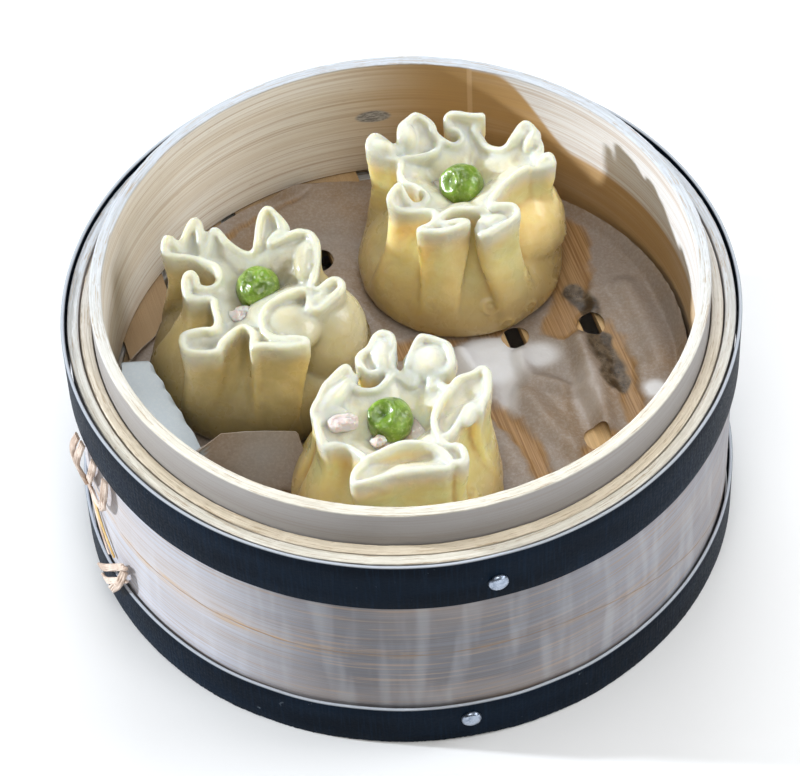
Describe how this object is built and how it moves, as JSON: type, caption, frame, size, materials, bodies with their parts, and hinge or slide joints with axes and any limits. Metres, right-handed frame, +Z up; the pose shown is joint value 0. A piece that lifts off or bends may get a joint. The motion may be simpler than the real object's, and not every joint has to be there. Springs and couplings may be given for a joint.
{
  "type": "siu mai dumplings in a bamboo steamer basket",
  "caption": "Steamed pork dumplings with frilled wheat wrappers, each topped with a pea, on a perforated paper liner in a round bamboo steamer tier with riveted black bands.",
  "frame": {"origin": "centre of the basket's foot ring, on the surface that the basket stands on", "axes": "+Z up through the basket, +X to the right of the two front rivets' side, -Y towards the front rivets"},
  "size_m": [0.15, 0.151, 0.0714],
  "materials": {
    "bamboo_pale": "pale weathered bamboo with fine streaks along the hoop",
    "bamboo_tan": "tan layered bamboo, dry",
    "bamboo_slat": "tan split bamboo with straight grain, damp",
    "rattan": "split rattan, smooth skin",
    "band_black": "blue-black coated strap, satin",
    "rivet_steel": "domed rivet, satin",
    "liner_paper": "damp perforated steamer paper",
    "dough": "steamed wheat dough, translucent and moist",
    "pork": "minced pork, cooked and moist",
    "pea_green": "steamed green pea, glossy"
  },
  "bodies": {
    "root": {"outer_wall": "bamboo_pale", "filler_hoop": "bamboo_tan", "rim_hoop": "bamboo_pale", "slat_hoop": "bamboo_tan", "upper_band": "band_black", "lower_band": "band_black", "slat_1": "bamboo_slat", "slat_2": "bamboo_slat", "slat_3": "bamboo_slat", "slat_4": "bamboo_slat", "slat_5": "bamboo_slat", "slat_6": "bamboo_slat", "slat_7": "bamboo_slat", "cross_bar_1": "bamboo_slat", "cross_bar_2": "bamboo_slat", "rivet_upper_front": "rivet_steel", "rivet_lower_front": "rivet_steel", "rivet_upper_back": "rivet_steel", "rivet_lower_back": "rivet_steel", "tie_strip_1": "rattan", "tie_strip_2": "rattan", "tie_knot_upper": "rattan", "tie_knot_lower": "rattan", "liner": "liner_paper", "wrapper_back": "dough", "filling_back": "pork", "pea_back": "pea_green", "wrapper_left": "dough", "filling_left": "pork", "pea_left": "pea_green", "wrapper_front": "dough", "filling_front": "pork", "pea_front": "pea_green"}
  },
  "joints": []
}
